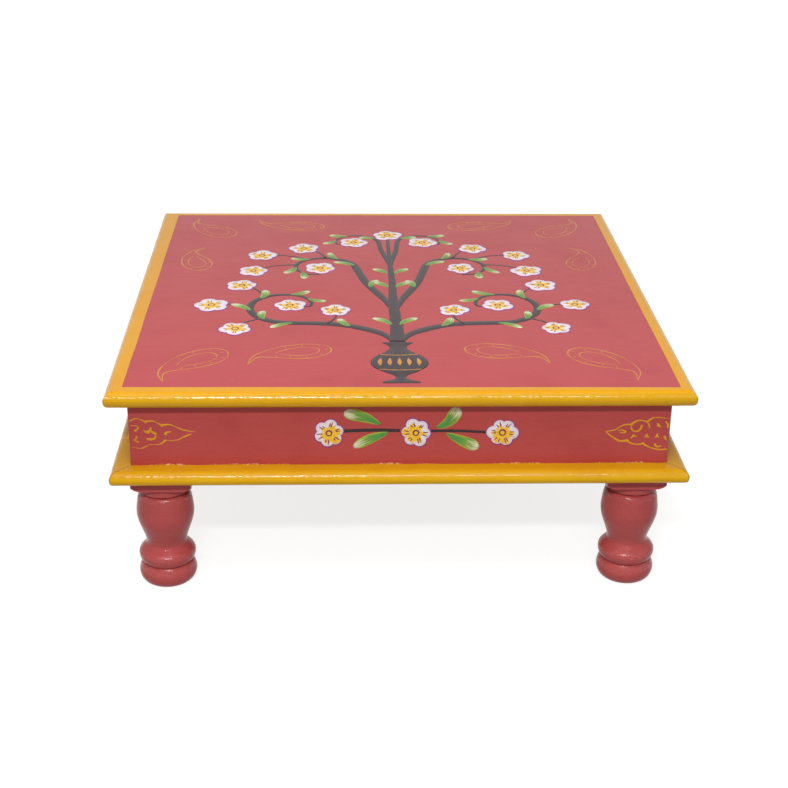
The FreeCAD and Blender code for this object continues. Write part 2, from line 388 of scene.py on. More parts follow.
# Apron
# Four boards on edge make the box between the two yellow edges. Outside they are brushed red
# along the grain; at the foot the yellow of the base frame has crept up in a ragged line, with
# small bare specks here and there. Inside they are left as planed.
red_specular = 0.22
apron_red = (187, 75, 71), (165, 56, 55)
apron_roughness = 0.36
apron_ripple = 0.9
apron_nibs = 0.7
apron_relief = 0.0002
apron_ragged = 0.0004
paint_wraps = 0.0016
creep_height = 0.0005
creep_blur = 0.00008
speck_pale = (240, 200, 160)
speck_from, speck_to = 0.0008, 0.0003

for sides, grain in ((("front", "back"), grain_along_x), (("left", "right"), grain_along_y)):
    low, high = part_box("apron_" + sides[0])
    outer = max(abs(high.x), abs(high.y), abs(low.x), abs(low.y))
    material, shader, where = surface(
        "red enamel on apron boards " + " and ".join(sides), red_specular)
    coat = enamel(where, (26, 26, 700), paints(apron_red),
                  apron_ripple, apron_nibs, apron_roughness)
    outward, height = folded(where)[2:]
    edge = noise(stretched(where, (1, 1, 0.2)), 300.0, 4.0, 0.7)
    places = ramp(noise(where, 22.0), 0.40, 0.62)
    creep = times(edge, times(places, creep_height * 3))
    creep = sum_of("ADD", creep, low.z + creep_height * 0.1)
    over = minus(creep, height)
    at_foot = ramp(over, -creep_blur, creep_blur)
    near = ramp(sum_of("ABSOLUTE", over), speck_from, speck_to)
    speck = ramp(noise(where, 420.0, 2.0, 0.6), 0.54, 0.62)
    speck = times(times(speck, places), near)
    # The yellow that creeps up the apron's foot takes the thin tone of the rails' darker top
    # yellow, which carries painted shade.
    colour = mixed(at_foot, coat["Color"], paint(shaded_rail_top_yellow[1]))
    coat["Color"] = mixed(speck, colour, paint(speck_pale))
    inside = minus(outward, outer - paint_wraps)
    painted_over_wood(shader, where, coat, grain, inside, apron_ragged, apron_relief)
    for side in sides:
        dress("apron_" + side, material)

# Glue blocks and cleats
# Bare softwood. A glued block stands in each corner of the apron and takes the leg's tenon; the
# cleats lie between the blocks under the top, pinned to the apron.
wood_specular = 0.4
wood_relief = 0.0002

for name, members, grain in (
        ("glue blocks", [n for n in nodes if n.startswith("corner_block_")], (90, 90, 6)),
        ("cleats along X", ["top_cleat_front", "top_cleat_back"], (6, 90, 90)),
        ("cleats along Y", ["top_cleat_left", "top_cleat_right"], (90, 6, 90))):
    material, shader, where = surface("planed softwood of " + name, wood_specular)
    wood = bare_wood(where, grain)
    finish_with(shader, wood["Color"], wood["Roughness"], wood["Height"], wood_relief)
    for member in members:
        dress(member, material)

# Screws and pins
# Zinc-plated steel: slotted countersunk screws up into the apron and the top, and panel pins
# through the cleats. The plating is dull, with faint turning marks and a touch of brown.
zinc = (172, 168, 156), (118, 106, 88)
zinc_specular = 0.5
zinc_relief = 0.00005

material, shader, where = surface("dull zinc plate", zinc_specular)
shader.inputs["Metallic"].default_value = 1.0
stain = noise(where, 700.0, 4.0, 0.6)
turned = noise(stretched(where, (200, 200, 3000)), 1.0, 1.0)
colour = mixed(ramp(stain, 0.45, 0.75), *paints(zinc))
rough = times_plus(stain, 0.3, 0.25)
finish_with(shader, colour, rough, turned, zinc_relief)
for name in ("top_screws", "base_screws", "cleat_pins"):
    dress(name, material)

# Top
# One board with a half-round edge. Its face is brushed red; the edge and a border on the face
# are painted yellow over it by hand, so the border's width is a little uneven from side to side.
# The rounded edge is painted a darker yellow than the border, as painted shade on its forward and
# lower face.
top_low, top_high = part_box("top_board")
top_specular = 0.13
top_roughness = 0.30
top_ripple = 0.5
top_nibs = 0.4
top_red = (192, 75, 78), (174, 61, 66)
top_yellow = (232, 165, 4), (221, 143, 6)
shaded_top_edge_yellow = (218, 164, 2), (206, 146, 4)
top_edge_from, top_edge_to = 0.0002, 0.0018
border_left, border_right = 0.0128, 0.0102
border_front, border_back = 0.0108, 0.0100
lean_left, lean_front = 0.0068, -0.0085
line_wobble = 0.0007
line_blur = 0.00015
face_margin = 0.001
border_step = -0.8
underside_runs_out_at = 0.170
underside_ragged = 0.002
underside_margin = 0.0004
underside_steepness = 40.0


def field_mask(where):
    """1 inside the red field of the top's face, 0 on its yellow border and edge."""
    apart = xyz_of(where)
    slow = minus(noise(where, 9.0), 0.5)
    quick = minus(noise(where, 300.0), 0.5)
    wobble = times_plus(quick, line_wobble * 0.5, times(slow, line_wobble * 2))
    least = minus(apart[2], top_high.z - face_margin)
    left_line = times_plus(apart[1], lean_left, top_low.x + border_left)
    front_line = times_plus(apart[0], lean_front, top_low.y + border_front)
    for gap in (minus(apart[0], left_line), minus(top_high.x - border_right, apart[0]),
                minus(apart[1], front_line), minus(top_high.y - border_back, apart[1])):
        least = sum_of("MINIMUM", least, gap)
    return ramp(sum_of("ADD", least, wobble), -line_blur, line_blur)


material, shader, where = surface("red field and yellow border of the top", top_specular)
red_coat = enamel(where, (16, 500, 500), paints(top_red), top_ripple, top_nibs, top_roughness)
outward, height = folded(where)[2:]
# Painted shade: below its top arris the rounded edge takes the darker yellow.
on_edge = ramp(height, top_high.z - top_edge_from, top_high.z - top_edge_to)
yellow_coat = yellow_enamel(where, (16, 520, 520), on_edge, top_yellow, shaded_top_edge_yellow)
field = field_mask(where)
relief = between(field, yellow_coat["Height"], red_coat["Height"])
coat = {
    "Color": mixed(field, yellow_coat["Color"], red_coat["Color"]),
    "Roughness": between(field, yellow_coat["Roughness"], red_coat["Roughness"]),
    "Height": times_plus(field, border_step, relief),
}
above = times(minus(height, top_low.z + underside_margin), underside_steepness)
painted = minus(outward, underside_runs_out_at)
painted_over_wood(shader, where, coat, (7, 70, 70), sum_of("MAXIMUM", painted, above),
                  underside_ragged, yellow_relief)
shine_on_arris(shader, where, height, top_low, top_high)
dress("top_board", material)

# Painted vase and stems on the top
# A formal flower vase near the front border, brushed on freehand, from which dark stems rise and
# scroll in mirrored pairs. Every stroke stands as a thin film of paint on the board, a step above
# the strokes that it crosses.
bark_black = (52, 38, 42), (70, 48, 50)
film_step = 0.00003
film_root = 0.00002
film_fall = 0.00001
stem_layer = 3 * film_step
vase_layer = 4 * film_step
film_roughness = 0.24
film_relief = 0.00006
stem_half_widths = 0.0056, 0.0011
hand = random.Random(11)
scene = bpy.context.scene


def on_top(x, y, height):
    return (x, y, top_high.z + height)


def new_film(board):
    """An empty film. board turns its two directions and its height into a place in the room."""
    return {"board": board, "places": [], "faces": [], "map": [], "tone": [], "rim": [],
            "heart": []}


def film_place(film, x, y, height, flat, tone, rim=0.0, heart=0.0):
    film["places"].append(film["board"](x, y, height))
    film["map"].append(flat)
    film["tone"].append(tone)
    film["rim"].append(rim)
    film["heart"].append(heart)


def brush_stroke(film, path, half_widths, height):
    """Lays a stroke of paint along a path: a low ridge with soft sides, closed below."""
    tone = hand.random()
    soft = height - film_fall
    across = ((-1, -film_root), (-0.9, soft), (0, height), (0.9, soft), (1, -film_root))
    first = len(film["places"])
    for index, spot in enumerate(path):
        before, after = path[max(index - 1, 0)], path[min(index + 1, len(path) - 1)]
        ahead = (Vector(after) - Vector(before)).normalized()
        aside = Vector((-ahead.y, ahead.x))
        share = index / (len(path) - 1)
        for offset, level in across:
            x, y = Vector(spot) + aside * (offset * half_widths[index])
            film_place(film, x, y, level, (share, (offset + 1) / 2), tone)
    count = len(across)
    for row in range(len(path) - 1):
        for column in range(count):
            a = first + row * count + column
            b = first + row * count + (column + 1) % count
            film["faces"].append((a, a + count, b + count, b))
    film["faces"].append(tuple(first + column for column in range(count)))
    last = first + (len(path) - 1) * count
    film["faces"].append(tuple(last + column for column in reversed(range(count))))


def lay_film(name, film, material):
    """Turns a film's strokes into one piece that lies on its board."""
    mesh = bpy.data.meshes.new(name)
    mesh.from_pydata(film["places"], [], film["faces"])
    layer = mesh.uv_layers.new(name="stroke")
    for loop in mesh.loops:
        layer.data[loop.index].uv = film["map"][loop.vertex_index]
    for kind in ("tone", "rim", "heart"):
        values = mesh.attributes.new(kind, "FLOAT", "POINT")
        values.data.foreach_set("value", film[kind])
    mesh.materials.append(material)
    mesh.shade_smooth()
    mesh.update()
    piece = bpy.data.objects.new(name, mesh)
    scene.collection.objects.link(piece)
    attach(piece, "root")


def smooth_path(knots, steps):
    """A curve through the given places, with even steps between each two."""
    knots = [Vector(k) for k in knots]
    ends = [2 * knots[0] - knots[1]] + knots + [2 * knots[-1] - knots[-2]]
    path = []
    for a, b, c, d in zip(ends, ends[1:], ends[2:], ends[3:]):
        for step in range(steps):
            t = step / steps
            path.append(0.5 * (2 * b + (c - a) * t + (2 * a - 5 * b + 4 * c - d) * t ** 2
                               + (3 * b - a - 3 * c + d) * t ** 3))
    return path + [knots[-1]]


def shares(count):
    return [index / (count - 1) for index in range(count)]


def towards(angle):
    return Vector((math.cos(angle), math.sin(angle)))


def tapering(count, start, end, swell=0.0):
    """Half widths of a stroke, with the brush's small unevenness."""
    return [(start + (end - start) * share + swell * math.sin(math.pi * share))
            * (1 + hand.uniform(-0.05, 0.05)) for share in shares(count)]


def scroll(centre, outer, inner, start, sweep, count=16):
    """Places on a volute that winds in round its centre, from its start angle in degrees."""
    return [Vector(centre) + (outer + (inner - outer) * share ** 1.1)
            * towards(math.radians(start + sweep * share)) for share in shares(count)]


def mirrored(path):
    return [Vector((-spot[0], spot[1])) for spot in path]


# The vase from its foot to its lip: half width and distance from the front of the field
vase_profile = (
    (0.0125, 0.006), (0.0120, 0.009), (0.0048, 0.013), (0.0042, 0.018), (0.0110, 0.024),
    (0.0178, 0.032), (0.0196, 0.041), (0.0166, 0.050), (0.0098, 0.058), (0.0062, 0.064),
    (0.0066, 0.069), (0.0104, 0.0735), (0.0108, 0.0750))
field_front = top_low.y + border_front
outline = smooth_path(vase_profile, 5)
stems = new_film(on_top)
brush_stroke(stems, [(0, field_front + spot.y) for spot in outline],
             [spot.x for spot in outline], vase_layer)
stem_knots = (
    (0, -0.1050), (0.0004, -0.070), (-0.0004, -0.030), (0.0004, 0.015), (0, 0.060), (0, 0.126))
stem = smooth_path(stem_knots, 8)
brush_stroke(stems, stem, tapering(len(stem), *stem_half_widths), stem_layer)

# Each scroll: its places on the way from the stem, its volute (middle, reach at its start and
# end, angle at its start, sweep) and its half widths. It is thinner where it leaves the stem.
scrolls = (
    {"leads": ((0.0010, -0.1080), (0.0120, -0.0870), (0.0400, -0.0715)),
     "volute": ((0.0760, -0.0340), 0.0345, 0.0145, -95, 285), "widths": (0.0043, 0.0012)},
    {"leads": ((0.0004, -0.0480), (0.0080, -0.0180), (0.0190, 0.0120)),
     "volute": ((0.0545, 0.0460), 0.0280, 0.0140, 180, -265), "widths": (0.0036, 0.0010)},
    {"leads": ((0.0002, 0.0440), (0.0026, 0.0680), (0.0058, 0.0880)),
     "volute": ((0.0280, 0.1080), 0.0205, 0.0135, 180, -200), "widths": (0.0023, 0.0008)},
)
scroll_paths = []
for rank, bough in enumerate(scrolls):
    path = smooth_path(list(bough["leads"]) + scroll(*bough["volute"]), 4)
    for mirror, side_path in ((1, path), (-1, mirrored(path))):
        widths = tapering(len(path), *bough["widths"])
        for index in range(6):
            widths[index] *= 0.30 + 0.14 * index
        brush_stroke(stems, side_path, widths, (2.6 - 0.2 * rank) * film_step)
        scroll_paths.append((rank, mirror, side_path))


def on_stroke(shader):
    """How far a place lies along and across its stroke, or over its blossom, from 0 to 1."""
    return xyz_of(new_node(shader.id_data, "UVMap", uv_map="stroke").outputs[0])


def off_middle(across):
    """0 on a stroke's middle line and 1 at its sides."""
    return sum_of("ABSOLUTE", times_plus(across, 2.0, -1.0))


def enamel_film(name, colours):
    """Gloss paint of one colour, laid with a small brush: thinner and darker at its sides."""
    material, shader, where = surface(name, red_specular)
    side = off_middle(on_stroke(shader)[1])
    bristle = noise(where, 520.0, 2.0, 0.6)
    thinness = times_plus(side, 0.35, times(bristle, 0.5))
    tinted = mixed(ramp(thinness, 0.3, 0.9), *paints(colours))
    rough = times_plus(bristle, 0.12, film_roughness)
    finish_with(shader, tinted, rough, bristle, film_relief)
    return material


bark_paint = enamel_film("dark stem paint", bark_black)
lay_film("vase_and_stems", stems, bark_paint)

# Leaves on the top
# One loaded brush with two greens and white: the stroke starts deep green at the stem, turns
# yellow green along its sides and ends in streaks of white at the tip.
leaf_green = (84, 148, 70)
leaf_lime = (166, 178, 54)
leaf_white = (228, 226, 200)
leaf_layer = 4 * film_step
leaf_places = 14
leaf_width = 0.0064
leaf_lean, stem_leaf_lean = 40, 46
stem_leaf_root = 0.0030
leaf_bend = 0.10
loaded_roughness = 0.30
loaded_relief = 0.00010
leaves = new_film(on_top)


def leaf_stroke(film, root, angle, length, width, bend, blunt=4.0):
    """A leaf from its root on the stem out to its tip, bulging to the left by its bend."""
    ahead = towards(angle)
    aside = Vector((-ahead.y, ahead.x))
    path, widths = [], []
    for share in shares(leaf_places):
        bulge = 4 * bend * length * share * (1 - share)
        path.append(Vector(root) + ahead * (length * share) + aside * bulge)
        filled = min(max(share, 0.02), 0.985)
        widths.append(width / 2 * filled ** 0.52 * (1 - filled ** blunt) ** 0.5 / 0.72)
    brush_stroke(film, path, widths, leaf_layer)


def along(path, share):
    """Place and heading at a share of a path's places."""
    index = min(int(share * (len(path) - 1)), len(path) - 2)
    ahead = Vector(path[index + 1]) - Vector(path[index])
    return Vector(path[index]), math.atan2(ahead.y, ahead.x)


# Leaves of each scroll: share along it, side of it, length
scroll_leaves = (
    ((0.10, 1, 0.0165), (0.17, -1, 0.0180), (0.29, 1, 0.0160), (0.40, -1, 0.0175),
     (0.55, -1, 0.0170), (0.72, -1, 0.0165), (0.84, -1, 0.0140)),
    ((0.10, 1, 0.0150), (0.22, -1, 0.0170), (0.36, 1, 0.0165), (0.52, 1, 0.0160),
     (0.72, 1, 0.0160), (0.84, 1, 0.0140)),
    ((0.30, -1, 0.0120), (0.62, 1, 0.0150), (0.84, 1, 0.0140)),
)
for rank, mirror, path in scroll_paths:
    for share, side, length in scroll_leaves[rank]:
        root, heading = along(path, share)
        lean = math.radians(leaf_lean + hand.uniform(-5, 5)) * side * mirror
        leaf_stroke(leaves, root, heading + lean, length * hand.uniform(0.93, 1.08),
                    leaf_width * hand.uniform(0.9, 1.1), -leaf_bend * side * mirror)

# Leaves of the stem: how far behind the middle of the top they start, and their length
for side in (1, -1):
    for y, length in ((-0.072, 0.0180), (0.004, 0.0165), (0.034, 0.0150)):
        leaf_stroke(leaves, (side * stem_leaf_root, y), math.radians(90 - side * stem_leaf_lean),
                    length, leaf_width, leaf_bend * side)


def film_value(shader, name):
    return new_node(shader.id_data, "Attribute", attribute_name=name).outputs["Fac"]


def leaf_material():
    """Greens and white side by side in one stroke, parted by the streaks of the bristles."""
    material, shader, _ = surface("two-tone leaf paint", red_specular)
    apart = on_stroke(shader)
    brushed = add("CombineXYZ", {
        0: times(apart[0], 2.2), 1: times(apart[1], 11.0),
        2: times(film_value(shader, "tone"), 40.0)}).outputs[0]
    streaks = minus(noise(brushed, 1.0, 3.0, 0.7), 0.5)
    out = times_plus(streaks, 1.5, apart[0])
    side = off_middle(times_plus(streaks, 0.7, apart[1]))
    lime = sum_of("MAXIMUM", ramp(side, 0.50, 0.85), ramp(out, 0.36, 0.92))
    green = mixed(lime, paint(leaf_green), paint(leaf_lime))
    inner = ramp(side, 1.00, 0.66)
    white = times(times(ramp(out, 0.64, 0.94), inner), 0.92)
    tipped = mixed(white, green, paint(leaf_white))
    rough = times_plus(streaks, 0.12, loaded_roughness)
    finish_with(shader, tipped, rough, streaks, loaded_relief)
    return material


leaf_paint = leaf_material()
lay_film("leaves_on_top", leaves, leaf_paint)

# Blossoms on the top
# Round white petals over a thin lilac outline, a golden heart brushed out along them, and last
# a small maroon ring with short maroon strokes round it.
petal_white = (242, 232, 238), (222, 198, 212)
heart_gold = (250, 200, 52), (236, 160, 44)
lilac = (152, 78, 158), (118, 46, 104)
maroon = (122, 32, 90), (138, 50, 98)
outline_width = 0.00052
outline_slip = 0.00035
ring_half_widths = 0.00062, 0.00044
dash_half_widths = 0.00040, 0.00020, 0.00010
twig_half_widths = 0.0011, 0.0007
curl_half_widths = 0.0008, 0.0006
outline_layer, petal_layer, mark_layer = (layer * film_step for layer in (5, 6, 7))
blossom_films = [new_film(on_top) for _ in range(3)]


def petal_outline(count, turn):
    """How far a blossom's outline and its golden heart reach at an angle, as shares."""
    lobes = [(turn + 2 * math.pi * p / count + hand.uniform(-0.07, 0.07),
              hand.uniform(0.92, 1.06)) for p in range(count)]
    lobe_radius = 0.42 if count > 5 else 0.49
    drift = hand.uniform(0, 2 * math.pi)
    golden, ray, off_centre = (0.52, 0.20, 0.15) if count > 5 else (0.40, 0.26, 0.07)

    def reach(angle):
        best = 0.5
        for middle, size in lobes:
            across = (1 - lobe_radius) * math.sin(angle - middle)
            if abs(across) < lobe_radius and math.cos(angle - middle) > 0:
                out = (1 - lobe_radius) * math.cos(angle - middle)
                best = max(best, size * (out + math.sqrt(lobe_radius ** 2 - across ** 2)))
        return best

    def heart(angle):
        star = 0.0
        for middle, _ in lobes:
            off = math.remainder(angle - middle, 2 * math.pi)
            if abs(off) < math.pi / count:
                star = max(star, math.cos(off * count / 2) ** 2)
        return golden + ray * star + off_centre * math.cos(angle - drift)

    return reach, heart


def disc_film(film, centre, radius, reach, heart, height, tone, count=84):
    """A round film with a lobed outline, highest in its middle and closed below."""
    rings = ((1.0, -film_root), (0.96, height - film_fall), (0.50, height))
    first = len(film["places"])
    for share, level in rings:
        for index in range(count):
            angle = 2 * math.pi * index / count
            out = share * reach(angle)
            flat = towards(angle) * out
            x, y = Vector(centre) + flat * radius
            film_place(film, x, y, level, tuple(flat * 0.4 + Vector((0.5, 0.5))), tone, share,
                       out - heart(angle))
    film_place(film, *centre, height, (0.5, 0.5), tone, 0.0, -0.5)
    middle = first + len(rings) * count
    for ring in range(len(rings) - 1):
        for index in range(count):
            a = first + ring * count + index
            b = first + ring * count + (index + 1) % count
            film["faces"].append((a, b, b + count, a + count))
    inner = first + (len(rings) - 1) * count
    for index in range(count):
        film["faces"].append((inner + index, inner + (index + 1) % count, middle))
    film["faces"].append(tuple(first + index for index in reversed(range(count))))


def blossom(centre, radius, petal_count, films):
    """Paints one blossom. films are the outline, petal and mark films that it goes into."""
    outline_film, petal_film, mark_film = films
    turn = hand.uniform(0, 2 * math.pi / petal_count)
    reach, heart = petal_outline(petal_count, turn)
    tone = hand.random()
    centre = Vector(centre)
    slip = Vector((hand.uniform(0.0, outline_slip), hand.uniform(-outline_slip, 0.0)))
    disc_film(outline_film, centre + slip, radius + outline_width, reach, heart,
              outline_layer, tone)
    disc_film(petal_film, centre, radius, reach, heart, petal_layer, tone)
    ring_radius = radius * hand.uniform(0.165, 0.195)
    ring = [centre + ring_radius * towards(step / 3) for step in range(20)]
    brush_stroke(mark_film, ring, tapering(len(ring), *ring_half_widths), mark_layer)
    for petal in range(petal_count):
        middle = turn + 2 * math.pi * petal / petal_count
        for offset in (-10, 9):
            angle = middle + math.radians(offset + hand.uniform(-5, 5))
            start, end = hand.uniform(0.40, 0.48), hand.uniform(0.64, 0.80)
            ahead = towards(angle) * radius
            dash = [centre + ahead * (start + (end - start) * share) for share in shares(4)]
            widths = tapering(len(dash), *dash_half_widths)
            brush_stroke(mark_film, dash, widths, mark_layer)


# Blossoms of each scroll: share along it where the twig leaves, and the blossom's place
scroll_blossoms = (
    ((0.13, (0.0430, -0.0440)), (0.30, (0.1130, -0.0790)), (0.42, (0.1330, -0.0330)),
     (0.58, (0.1130, 0.0080))),
    ((0.42, (0.0680, 0.0930)), (0.54, (0.1010, 0.0760)), (0.66, (0.1060, 0.0400))),
    (),
)
twigs = new_film(on_top)
blossom_radius = 0.0120
for rank, mirror, path in scroll_paths:
    centre = scrolls[rank]["volute"][0]
    spots = [(mirror * centre[0], centre[1])]
    for share, spot in scroll_blossoms[rank]:
        root, heading = along(path, share)
        at = Vector((mirror * spot[0], spot[1]))
        spots.append(at)
        bow = Vector((root.y - at.y, at.x - root.x)) * 0.12 * mirror
        twig = smooth_path([root, (root + at) / 2 + bow, at], 4)
        brush_stroke(twigs, twig, tapering(len(twig), *twig_half_widths), stem_layer)
    end = path[-1]
    last = smooth_path([end, (end + Vector(spots[0])) / 2, spots[0]], 3)
    brush_stroke(twigs, last, tapering(len(last), *curl_half_widths), 2.8 * film_step)
    for spot in spots:
        blossom(spot, blossom_radius * hand.uniform(0.94, 1.05), 5, blossom_films)
blossom(stem_knots[-1], blossom_radius * 1.05, 5, blossom_films)
lay_film("twigs_on_top", twigs, bark_paint)


def petal_material():
    """White petals whose golden heart is brushed out along each petal."""
    material, shader, _ = surface("white petal paint with golden heart", red_specular)
    tone, rim, heart = (film_value(shader, name) for name in ("tone", "rim", "heart"))
    apart = on_stroke(shader)
    angle = sum_of("ARCTAN2", minus(apart[1], 0.5), minus(apart[0], 0.5))
    spoke = add("CombineXYZ", {
        0: times(sum_of("COSINE", angle), 7.0), 1: times(sum_of("SINE", angle), 7.0),
        2: times_plus(tone, 50.0, rim)}).outputs[0]
    streaks = minus(noise(spoke, 1.0, 3.0, 0.7), 0.5)
    golden = ramp(minus(heart, streaks), 0.06, -0.06)
    blush = times(ramp(rim, 0.72, 1.0), 0.55)
    blush = times_plus(ramp(streaks, 0.02, 0.2), 0.35, blush)
    white = mixed(blush, *paints(petal_white))
    gold = mixed(ramp(streaks, 0.0, 0.22), *paints(heart_gold))
    colour = mixed(golden, white, gold)
    rough = times_plus(streaks, 0.12, loaded_roughness)
    finish_with(shader, colour, rough, streaks, loaded_relief)
    return material


petal_paint = petal_material()
lilac_paint = enamel_film("lilac outline paint", lilac)
maroon_paint = enamel_film("maroon mark paint", maroon)


def lay_blossoms(name, films):
    """Lays the outlines, petals and marks, each under the name with its own word in the gap."""
    for word, film, coat in zip(("outlines", "petals", "marks"), films,
                                (lilac_paint, petal_paint, maroon_paint)):
        lay_film(name.format(word), film, coat)


lay_blossoms("blossom_{}_on_top", blossom_films)

# Mango line motifs on the top
# Fine ochre outlines with small dashes inside, brushed thinly round the flowering vase, so that
# the red shows through where the brush ran dry.
ochre = (208, 142, 46), (198, 106, 58)
line_half_width = 0.00046
motif_layer = 2 * film_step
band_layer = 5 * film_step
line_relief = 0.00005
stipple_half_widths = 0.0002, 0.0006, 0.0002
motifs = new_film(on_top)

# Outline of a mango figure from its curled tip round the belly: shares of half length and width
mango_knots = (
    (1.00, 0.62), (0.74, 0.22), (0.40, 0.27), (0.02, 0.44), (-0.42, 0.50), (-0.80, 0.33),
    (-0.97, -0.02), (-0.82, -0.36), (-0.42, -0.52), (0.06, -0.47), (0.50, -0.24), (0.84, 0.12),
    (1.00, 0.62))


def mango_outline(centre, length, width, angle, curl, share=1.0):
    """Places round a mango figure, or round a smaller share of it that keeps to its belly."""
    path = []
    for spot in smooth_path(mango_knots, 6):
        x = (share * (spot.x + 0.3) - 0.3) * length / 2
        y = share * spot.y * width * curl
        path.append(Vector(centre) + Matrix.Rotation(angle, 2) @ Vector((x, y)))
    return path


def thick_and_thin(count, width, swells):
    """Half widths of a pointed brush that is pressed and lifted along its way."""
    return [width * (0.62 + 0.62 * math.sin(swells * math.pi * share) ** 2)
            for share in shares(count)]


def mango(film, centre, length, width, angle, curl):
    """The outline, a second line inside it and eight small dashes between the two."""
    outer = mango_outline(centre, length, width, angle, curl)
    inner = mango_outline(centre, length, width, angle, curl, 0.58)[8:-8]
    for line, share, swells in ((outer, 1.0, 5), (inner, 0.8, 3)):
        widths = thick_and_thin(len(line), line_half_width * share, swells)
        brush_stroke(film, line, widths, motif_layer)
    for index in range(8):
        at = outer[12 + index * 6]
        inward = (Vector(centre) - at).normalized() * width
        start = at + inward * 0.09
        end = at + inward * (0.15 + 0.04 * hand.random())
        brush_stroke(film, [start, (start + end) / 2, end], stipple_half_widths, motif_layer)


# Each mango on the right half: x, y, length, width, angle in degrees and the way it curls
for side in (1, -1):
    for x, y, length, width, angle, curl in (
            (0.146, 0.142, 0.054, 0.024, 40, 1), (0.140, -0.138, 0.062, 0.026, -38, -1),
            (0.153, 0.066, 0.052, 0.022, 74, 1), (0.080, 0.152, 0.058, 0.021, 6, 1),
            (0.074, -0.122, 0.060, 0.024, -10, -1)):
        turn = math.radians(angle if side > 0 else 180 - angle)
        mango(motifs, (side * x, y), length, width, turn, curl * side)

# Two bands and a row of small drops on the vase
for y, half in ((0.0285, 0.0140), (0.0535, 0.0128)):
    across = field_front + y
    band = smooth_path([(-half, across), (0, across - 0.0012), (half, across)], 6)
    brush_stroke(motifs, band, tapering(len(band), 0.0005, 0.0005), band_layer)
for step in range(-2, 3):
    x = step * 0.0064
    drop = [(x, field_front + 0.0350), (x * 1.03, field_front + 0.0410),
            (x * 0.96, field_front + 0.0475)]
    brush_stroke(motifs, smooth_path(drop, 4), tapering(9, 0.0002, 0.0002, 0.0014),
                 band_layer)


def ochre_material(name, colours):
    """Line paint that thins to its dry colour in patches."""
    material, shader, where = surface(name, red_specular)
    dry = noise(where, 330.0, 4.0, 0.7)
    broad = noise(where, 24.0, 1.0)
    share = times_plus(broad, 0.6, times(dry, 0.6))
    colour = mixed(ramp(share, 0.52, 0.84), *paints(colours))
    rough = times_plus(dry, 0.15, film_roughness)
    finish_with(shader, colour, rough, dry, line_relief)
    return material


lay_film("mango_line_motifs", motifs, ochre_material("thin ochre line paint", ochre))

# Painted sprig on the apron's front
# Three six-petalled blossoms on a straight dark stem with four leaves, brushed on between two
# lobed ochre line figures that start at the apron's ends and run to a point towards the sprig.
apron_low, apron_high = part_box("apron_front")
sprig_x, sprig_z = 0.0097, 0.1184
sprig_pitch = 0.0568
sprig_radius = 0.0105


def on_front(x, z, height):
    return (x, apron_low.y - height, z)


sprig_stems = new_film(on_front)
for start, end, half in (((-0.0373, 0.1199), (-0.0008, 0.1201), 0.00130),
                         ((0.0195, 0.1197), (0.0552, 0.1187), 0.00105)):
    middle = (Vector(start) + Vector(end)) / 2 + Vector((0, 0.0005))
    line = smooth_path([start, middle, end], 8)
    brush_stroke(sprig_stems, line, tapering(len(line), half, half * 0.9), stem_layer)
lay_film("sprig_stems", sprig_stems, bark_paint)

# Each leaf: root, tip, width, bend, bluntness
sprig_leaf_places = (
    ((-0.0138, 0.1246), (-0.0373, 0.1326), 0.0082, -0.06, 6.0),
    ((-0.0086, 0.1186), (-0.0310, 0.1082), 0.0082, -0.03, 2.6),
    ((0.0230, 0.1222), (0.0362, 0.1368), 0.0084, -0.16, 7.0),
    ((0.0300, 0.1178), (0.0512, 0.1076), 0.0080, -0.02, 6.0),
)
sprig_leaves = new_film(on_front)
for root, tip, width, bend, blunt in sprig_leaf_places:
    reach = Vector(tip) - Vector(root)
    leaf_stroke(sprig_leaves, root, math.atan2(reach.y, reach.x), reach.length, width, bend, blunt)
lay_film("sprig_leaves", sprig_leaves, leaf_paint)

sprig_films = [new_film(on_front) for _ in range(3)]
for step in (-1, 0, 1):
    blossom((sprig_x + step * sprig_pitch, sprig_z), sprig_radius, 6, sprig_films)
lay_blossoms("sprig_blossom_{}", sprig_films)

# Each line of the end figures, which are painted by hand and differ a little: its places, in
# place units inwards from the apron's end and up from the figure's middle line, and its half
# widths at its start, middle and end, in width units
place_unit = 0.0001
width_unit = 0.000115
figure_end = apron_high.x - 0.0006
left_middle, right_middle = 0.1192, 0.1190
figure_ochre = (226, 160, 22), (206, 130, 42)
left_figure_lines = (
    (((2, 82), (46, 102), (90, 88), (112, 72)), (4, 2, 7)),
    (((106, 80), (152, 84), (194, 64), (218, 46)), (8, 2, 7)),
    (((212, 54), (262, 58), (312, 36), (350, 18)), (8, 2, 4)),
    (((346, 20), (384, 11), (428, 4)), (4, 3, 1)),
    (((10, -102), (64, -114), (104, -98), (126, -84)), (1, 4, 2)),
    (((124, -86), (168, -86), (204, -78), (232, -52)), (2, 3, 7)),
    (((230, -54), (274, -58), (312, -52), (346, -32)), (2, 2, 4)),
    (((342, -34), (376, -20), (404, -8)), (4, 5, 1)),
    (((8, 52), (52, 48), (56, 30), (32, 10)), (2, 4, 7)),
    (((90, 18), (112, 4), (132, 14), (140, 40)), (4, 11, 4)),
    (((130, 16), (152, 2), (174, -14)), (4, 8, 7)),
    (((108, -46), (136, -48), (160, -42), (168, -22)), (8, 7, 5)),
    (((46, -22), (40, -44), (22, -54)), (5, 6, 3)),
    (((28, -52), (44, -64), (58, -70)), (3, 6, 5)),
    (((230, -16), (238, 0), (270, 8)), (9, 7, 2)),
)
